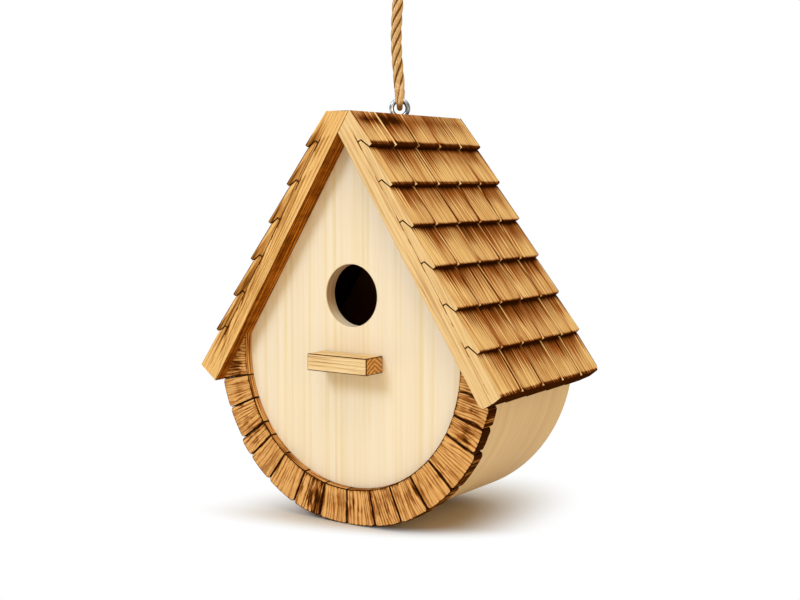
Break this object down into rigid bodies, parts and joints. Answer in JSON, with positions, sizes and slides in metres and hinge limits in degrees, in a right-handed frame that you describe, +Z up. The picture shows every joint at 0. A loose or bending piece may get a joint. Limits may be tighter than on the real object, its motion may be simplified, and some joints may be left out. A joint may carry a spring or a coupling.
{
  "type": "birdhouse",
  "caption": "Hanging teardrop birdhouse: a round-bottomed nest box under a steep shingled roof, with a round entrance, a block perch, a rim of wood blocks and a swinging clean-out door.",
  "frame": {"origin": "top of the hanging loop's inside, where a hook or nail carries it", "axes": "+Z up along the rope, -Y out of the entrance, +X to the right seen from the front"},
  "size_m": [0.1878, 0.1069, 0.323],
  "materials": {
    "pine_panel": "satin",
    "bent_wood": "satin",
    "roof_board": "satin",
    "shingle_wood": "satin",
    "rim_wood": "satin",
    "perch_wood": "satin",
    "steel": "plated",
    "rope": "matte"
  },
  "bodies": {
    "rope": {"hanging_rope": "rope", "rope_bight": "rope", "rope_knot": "rope", "rope_loop": "rope"},
    "house": {"front_panel": "pine_panel", "back_panel": "pine_panel", "side_wall": "bent_wood", "roof_board_left": "roof_board", "roof_board_right": "roof_board", "shingle_course_left_1": "shingle_wood", "shingle_course_left_2": "shingle_wood", "shingle_course_left_3": "shingle_wood", "shingle_course_left_4": "shingle_wood", "shingle_course_left_5": "shingle_wood", "shingle_course_left_6": "shingle_wood", "shingle_course_left_7": "shingle_wood", "shingle_course_right_1": "shingle_wood", "shingle_course_right_2": "shingle_wood", "shingle_course_right_3": "shingle_wood", "shingle_course_right_4": "shingle_wood", "shingle_course_right_5": "shingle_wood", "shingle_course_right_6": "shingle_wood", "shingle_course_right_7": "shingle_wood", "rim_block_1": "rim_wood", "rim_block_2": "rim_wood", "rim_block_3": "rim_wood", "rim_block_4": "rim_wood", "rim_block_5": "rim_wood", "rim_block_6": "rim_wood", "rim_block_7": "rim_wood", "rim_block_8": "rim_wood", "rim_block_9": "rim_wood", "rim_block_10": "rim_wood", "rim_block_11": "rim_wood", "rim_block_12": "rim_wood", "rim_block_13": "rim_wood", "rim_block_14": "rim_wood", "rim_block_15": "rim_wood", "rim_block_16": "rim_wood", "perch": "perch_wood", "perch_screw": "steel", "door_screw": "steel", "door_washer": "steel", "screw_eye": "steel"},
    "door": {"cleanout_door": "pine_panel"}
  },
  "joints": [
    {"name": "house_swing", "type": "hinge", "parent": "rope", "child": "house", "pos_m": [0, 0, -0.1033], "axis": [0.5, -0.866, 0], "range_deg": [-35, 35]},
    {"name": "door_swing", "type": "hinge", "parent": "house", "child": "door", "pos_m": [0, 0.0413, -0.2218], "axis": [0, 1, 0], "range_deg": [-90, 90]}
  ]
}
